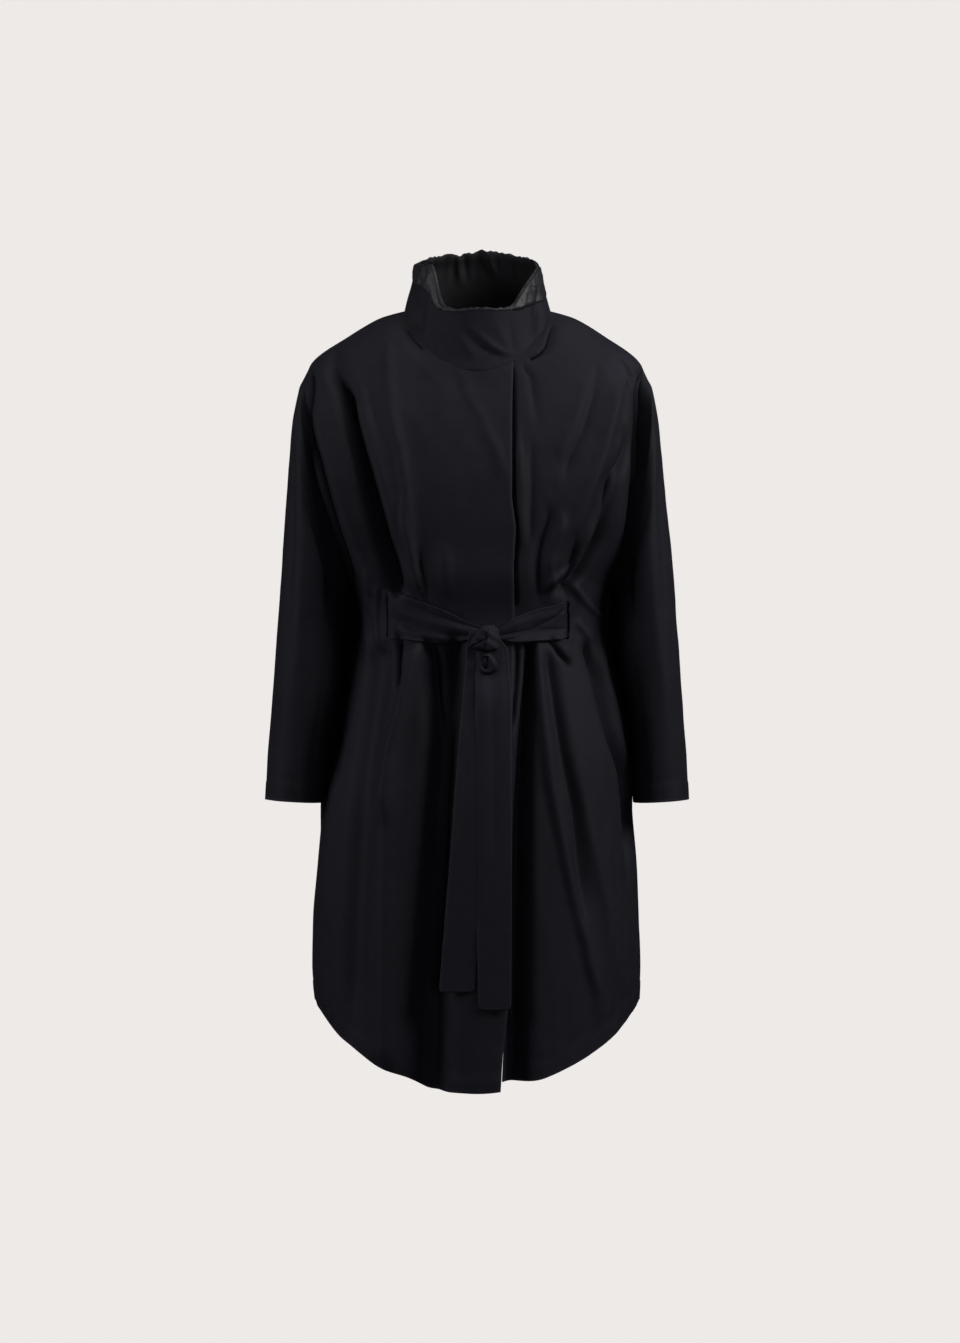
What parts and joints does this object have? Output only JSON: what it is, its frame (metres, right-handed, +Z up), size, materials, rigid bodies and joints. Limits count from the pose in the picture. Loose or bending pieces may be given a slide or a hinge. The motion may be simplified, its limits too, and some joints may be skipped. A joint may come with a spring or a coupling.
{
  "type": "belted rain poncho coat",
  "caption": "Worn, hollow rain coat with a stand collar, deep-set sleeves, a lapped front, a tied belt through two front slits and a curved shirt-tail hem.",
  "frame": {"origin": "middle of the neck base, where the wearer's shoulders and neck carry the coat", "axes": "+Z up along the coat, -Y to its front, +X to the wearer's left"},
  "size_m": [0.545, 0.3212, 1.0846],
  "materials": {
    "shell": "coated matt cloth with a soft sheen",
    "lining": "satin"
  },
  "bodies": {
    "root": {"front_right": "shell", "front_left": "shell", "back": "shell", "sleeve_right": "shell", "sleeve_left": "shell", "collar_outer": "shell", "belt_waist_right": "shell", "belt_waist_left": "shell", "belt_inside": "shell", "belt_tail_under": "shell", "belt_tail_over": "shell", "belt_knot": "shell", "belt_loop": "shell", "collar_lining": "lining"}
  },
  "joints": []
}
